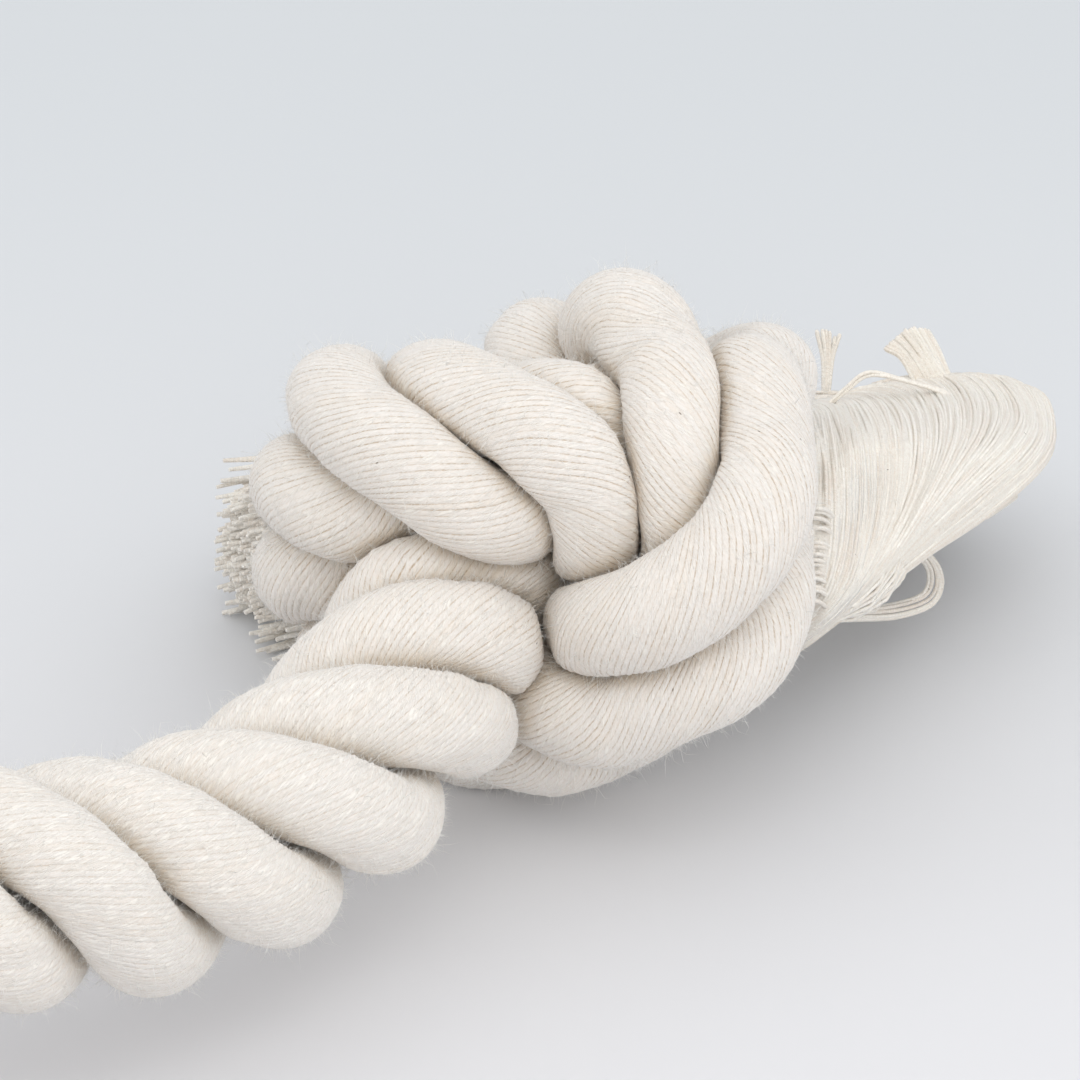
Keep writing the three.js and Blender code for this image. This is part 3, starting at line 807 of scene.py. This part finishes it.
def yarn_group():
    """Cotton yarns on a UV map whose u counts yarns and whose v is millimetres along them: yarns and patches have
    their own tint, creases beside a neighbour take a warm painted shade, short dark lines of painted shade wander
    between neighbours, most in the creases and least where the rope is worn, fine slanting fibres streak them, and
    here and there sits a dark fleck of husk."""
    group = bpy.data.node_groups.new("cotton yarns", "ShaderNodeTree")
    group.interface.new_socket("Pale", in_out="INPUT", socket_type="NodeSocketColor")
    for name in ("Groove shade", "Tint"):
        group.interface.new_socket(name, in_out="INPUT", socket_type="NodeSocketFloat")
    group.interface.new_socket("Color", in_out="OUTPUT", socket_type="NodeSocketColor")
    group.interface.new_socket("Height", in_out="OUTPUT", socket_type="NodeSocketFloat")
    given = group.nodes.new("NodeGroupInput").outputs
    uv = node(group, "ShaderNodeSeparateXYZ", {0: node(group, "ShaderNodeUVMap", uv_map="UVMap").outputs[0]})
    u, v = uv.outputs[0], uv.outputs[1]
    crease, worn = (node(group, "ShaderNodeAttribute", attribute_name=mark).outputs["Fac"] for mark in MARKS)

    def times(a, b):
        """One value or socket times another."""
        return calc(group, "MULTIPLY", a, b)

    def plus(a, b, clamp=False):
        """The sum of two values or sockets, held between 0 and 1 if asked."""
        return calc(group, "ADD", a, b, clamp)

    def minus(a, b):
        """The difference of two values or sockets."""
        return calc(group, "SUBTRACT", a, b)

    def spread(across, along):
        """A place in a texture from one value across the yarns and one along them."""
        return node(group, "ShaderNodeCombineXYZ", {0: across, 1: along}).outputs[0]

    def noise(place, detail):
        """Soft noise at a place, about 0.5 on the whole."""
        return node(group, "ShaderNodeTexNoise", {"Vector": place, "Scale": 1.0, "Detail": detail}).outputs[0]

    def stretched(across, across_scale, along_scale, detail):
        """Noise stretched along the yarns, with one value across them."""
        return noise(spread(times(across, across_scale), times(v, along_scale)), detail)

    bent_u = plus(u, times(minus(stretched(u, *WANDER), 0.5), WANDER_WIDTH))
    phase = calc(group, "FRACT", bent_u)
    edge = calc(group, "MINIMUM", phase, minus(1.0, phase))
    gap = calc(group, "FLOOR", plus(bent_u, 0.5))
    own = node(group, "ShaderNodeTexWhiteNoise", {"W": calc(group, "FLOOR", u)}, noise_dimensions="1D").outputs[0]
    grain = stretched(u, *GRAIN)
    slant = plus(times(u, FIBRE_SLANT[0]), times(v, FIBRE_SLANT[1]))
    fibres = noise(spread(slant, times(v, FIBRE_LENGTH)), FIBRE_DETAIL)
    slant = plus(times(u, FUZZ_SLANT[0]), times(v, FUZZ_SLANT[1]))
    stray = minus(times(v, FUZZ_STRAY[1]), times(u, FUZZ_STRAY[0]))
    fuzz = ramp(group, plus(noise(spread(slant, stray), FUZZ_DETAIL), times(worn, WORN_FUZZ)), *FUZZ_RAMP)

    tint = ramp(group, plus(times(own, OWN_TINT), stretched(u, *CLOUDS)), *TINT_RAMP)
    color = mixed(group, times(tint, given["Tint"]), given["Pale"], WARM_COTTON)
    # painted shade: the creases beside a neighbour turn warm and dark
    crease_shade_share = times(calc(group, "POWER", crease, CREASE_SHADE_POWER), CREASE_SHADE_TINT)
    color = mixed(group, crease_shade_share, color, CREASE_SHADE)
    streak = plus(ramp(group, fibres, *STREAK_RAMP), ramp(group, grain, *STREAK_RAMP))
    color = mixed(group, times(streak, STREAK_TINT), color, TAN_COTTON)

    # painted shade: short dark lines in the gaps between yarns, in patches, darkest in the creases
    patches = plus(LEAST_PATCH, ramp(group, stretched(gap, *PATCHES), *PATCH_RAMP), True)
    patches = times(patches, ramp(group, stretched(u, *THICKNESS), *THICK_RAMP))
    patches = times(patches, minus(1.0, times(worn, WORN_GROOVE_SHADE)))
    groove_shade_strength = times(patches, plus(OPEN_GROOVE_SHADE, crease, True))
    broken = times(plus(LEAST_BREAK, ramp(group, grain, *BREAK_RAMP), True), groove_shade_strength)
    line = times(times(ramp(group, edge, *GROOVE_SHADE_RAMP), broken), given["Groove shade"])
    color = mixed(group, line, color, GROOVE_SHADE)
    color = mixed(group, times(fuzz, FUZZ_TINT), color, WHITE_COTTON)

    place = spread(times(u, FLECKS[0]), times(v, FLECKS[1]))
    fleck = node(group, "ShaderNodeTexVoronoi", {"Vector": place, "Scale": 1.0}, voronoi_dimensions="2D").outputs[0]
    color = mixed(group, times(ramp(group, fleck, *FLECK_RAMP), FLECK_TINT), color, HUSK)
    result = group.nodes.new("NodeGroupOutput")
    group.links.new(color, result.inputs["Color"])
    group.links.new(minus(plus(grain, fuzz), line), result.inputs["Height"])
    return group


def cotton(name, pale, lines, tint):
    """Matt cotton with a soft sheen: the yarn group's colours, with its fibres and gaps as a fine bump."""
    material = bpy.data.materials.new(name)
    material.use_nodes = True
    tree = material.node_tree
    yarns = node(tree, "ShaderNodeGroup", node_tree=yarn_pattern)
    yarns.inputs["Pale"].default_value = pale
    yarns.inputs["Groove shade"].default_value = lines
    yarns.inputs["Tint"].default_value = tint
    bump = node(tree, "ShaderNodeBump", {"Height": yarns.outputs["Height"], "Strength": 0.5, "Distance": 0.0003})
    shader = tree.nodes["Principled BSDF"]
    tree.links.new(yarns.outputs["Color"], shader.inputs["Base Color"])
    tree.links.new(bump.outputs["Normal"], shader.inputs["Normal"])
    shader.inputs["Roughness"].default_value = 0.95
    shader.inputs["Specular IOR Level"].default_value = 0.2
    shader.inputs["Sheen Weight"].default_value = 0.5
    shader.inputs["Sheen Roughness"].default_value = 0.5
    return material


def fibre(name, color):
    """Single fibres: plain matt cotton."""
    material = bpy.data.materials.new(name)
    material.use_nodes = True
    shader = material.node_tree.nodes["Principled BSDF"]
    shader.inputs["Base Color"].default_value = color
    shader.inputs["Roughness"].default_value = 1.0
    shader.inputs["Specular IOR Level"].default_value = 0.0
    return material


def floor_paper():
    """Pale paper with painted shade that darkens it slowly away from the camera, by the place on the floor in
    metres.
    """
    material = bpy.data.materials.new("floor")
    material.use_nodes = True
    tree = material.node_tree
    place = node(tree, "ShaderNodeSeparateXYZ", {0: node(tree, "ShaderNodeTexCoord").outputs["Object"]})
    azimuth = np.radians(CAMERA_AZIMUTH)
    across = calc(tree, "MULTIPLY", place.outputs[0], np.sin(-azimuth))
    distance = calc(tree, "ADD", across, calc(tree, "MULTIPLY", place.outputs[1], np.cos(azimuth)))
    color = mixed(tree, ramp(tree, distance, *FLOOR_RAMP), NEAR_FLOOR, FAR_FLOOR_SHADE)
    shader = tree.nodes["Principled BSDF"]
    tree.links.new(color, shader.inputs["Base Color"])
    shader.inputs["Roughness"].default_value = 0.7
    shader.inputs["Specular IOR Level"].default_value = 0.2
    return material


def skin_piece(skin, k, first, last):
    """The stretch of a strand's skin between two of its rings as a closed tube, shaded as one with the rest."""
    stretch = slice(first, last + 1)
    points, corners, sizes, uv = tubes(skin["rings"][None, stretch], 1 / YARN_POINTS, skin["along"][None, stretch])
    ends = -skin["tangents"][first], skin["tangents"][last]
    normals = np.vstack([skin["normals"][stretch].reshape(-1, 3), *ends])
    marks = {mark: np.r_[skin[mark][stretch].ravel(), 1, 1] for mark in MARKS}
    return (points, corners, sizes, uv + [UV_SHIFT * k, 0]), normals, marks


def skin_hairs(skin, first, last, share):
    """Short fuzz and some longer fibres on a stretch of a strand's skin, wherever no neighbour lies on it."""
    ring, column = np.nonzero(skin["free"][first : last + 1] > ROOM)
    shapes = []
    for count, length, bent in ((FUZZ, FUZZ_LENGTH, False), (HAIRS, HAIR_LENGTH, True)):
        pick = rng.integers(0, len(ring), int(share * count))
        place = ring[pick] + first, column[pick]
        shift = skin["tangents"][place[0]] * rng.uniform(-RING_STEP, RING_STEP, (len(pick), 1)) / 2
        shapes.append(hairs(skin["rings"][place] + shift, skin["normals"][place], length, bent))
    return joined(shapes)


def tassel_piece(name, end, paths, along, radius):
    """Yarns of a tassel as one piece."""
    rings = yarn_tubes(paths, radius, YARN_SIDES)
    made = piece(name, tubes(rings, 1 / YARN_SIDES, np.tile(along, (len(paths), 1))), lightened_tassel_cotton)
    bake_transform(made)
    return made


def area_light(name, place, size, power):
    """A square soft box at a place in metres, facing the toy."""
    light = bpy.data.lights.new(name, "AREA")
    light.size, light.energy, light.color = size, power, LIGHT_COLOR
    made = bpy.data.objects.new(name, light)
    bpy.context.scene.collection.objects.link(made)
    made.location = place
    made.rotation_euler = (Vector(LIGHT_AIM) - Vector(place)).to_track_quat("-Z", "Y").to_euler()


# Camera
camera = bpy.data.objects.new("camera", bpy.data.cameras.new("camera"))
bpy.context.scene.collection.objects.link(camera)
bpy.context.scene.camera = camera
camera.data.lens = CAMERA_LENS
camera.data.sensor_width = CAMERA_SENSOR
target = in_frame(np.array(CAMERA_TARGET))
azimuth, elevation = np.radians(CAMERA_AZIMUTH), np.radians(CAMERA_ELEVATION)
level = np.cos(elevation)
backward = np.array([np.sin(azimuth) * level, -np.cos(azimuth) * level, np.sin(elevation)])
camera.location = target + CAMERA_DISTANCE * backward
camera.rotation_euler = Vector(-backward).to_track_quat("-Z", "Y").to_euler()

# Pieces
yarn_pattern = yarn_group()
# The rope's cotton paints shade into the gaps between its yarns as dark lines; the tassel's paints none
rope_cotton = cotton("rope cotton", PALE_COTTON, lines=0.9, tint=0.5)
# The tassel's yarns are the rope's cotton painted lighter, painted light that makes up for the shade among them
lightened_tassel_cotton = cotton("lightened tassel cotton", WHITE_COTTON, lines=0.0, tint=0.9)
fibre_cotton = fibre("cotton fibre", FIBRE_COTTON)

strands, rope_line = whole_strands()
near_points, near_strand, near_place = neighbour_points()
skins = [strand_skin(k) for k in range(STRANDS)]

free_stretch = [skin_piece(skin, k, *skin["cuts"][1:3]) for k, skin in enumerate(skins)]
shapes, normals, marks = zip(*free_stretch)
rope_marks = {mark: np.concatenate([one[mark] for one in marks]) for mark in MARKS}
rope = piece("rope", joined(shapes), rope_cotton, np.vstack(normals), rope_marks)
rope_path = in_frame(rope_line[::-1])
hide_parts(*[f"rope_strand_{k + 1}" for k in range(STRANDS)])
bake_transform(rope)

for k, skin in enumerate(skins):
    fuzz = piece(f"rope_fuzz_{k + 1}", skin_hairs(skin, *skin["cuts"][1:3], ROPE_FUZZ), fibre_cotton)
    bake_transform(fuzz)
    for end, (a, b) in {"far": skin["cuts"][0:2], "near": skin["cuts"][2:4]}.items():
        shape, normals, marks = skin_piece(skin, k, a, b)
        knot = piece(f"{end}_knot_{k + 1}", shape, rope_cotton, normals, marks)
        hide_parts(f"{end}_knot_strand_{k + 1}")
        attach(knot, f"{end}_end")
        fuzz = piece(f"{end}_knot_fuzz_{k + 1}", skin_hairs(skin, a, b, 1), fibre_cotton)
        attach(fuzz, f"{end}_end")

for k in range(STRANDS):
    cuts = strands[k]["cuts"]
    for end, first, last in (("near", cuts[4], cuts[5]), ("far", cuts[1], cuts[0])):
        lock = tassel_piece(f"{end}_tassel_{k + 1}", end, *lock_yarns(k, first, last, *TASSELS[end]))
        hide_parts(f"{end}_tassel_lock_{k + 1}")
for name, (count, lines) in LOOSE_YARNS.items():
    tassel_piece(f"near_tassel_{name}", "near", *sheet_yarns(np.array(lines, dtype=float), count))

# Stage
floor_mesh = bpy.data.meshes.new("floor")
floor_corners = [(x * FLOOR_REACH, y * FLOOR_REACH, 0) for x, y in ((-1, -1), (1, -1), (1, 1), (-1, 1))]
floor_mesh.from_pydata(floor_corners, [], [(0, 1, 2, 3)])
floor_mesh.materials.append(floor_paper())
floor = bpy.data.objects.new("floor", floor_mesh)
bpy.context.scene.collection.objects.link(floor)

world = bpy.data.worlds.new("world")
bpy.context.scene.world = world
world.use_nodes = True
world.node_tree.nodes["Background"].inputs[0].default_value = WORLD_COLOR
world.node_tree.nodes["Background"].inputs[1].default_value = WORLD_LIGHT

for name, light in LIGHTS.items():
    area_light(name, *light)

scene = bpy.context.scene
scene.view_settings.view_transform = "Standard"
scene.render.resolution_x = scene.render.resolution_y = PICTURE
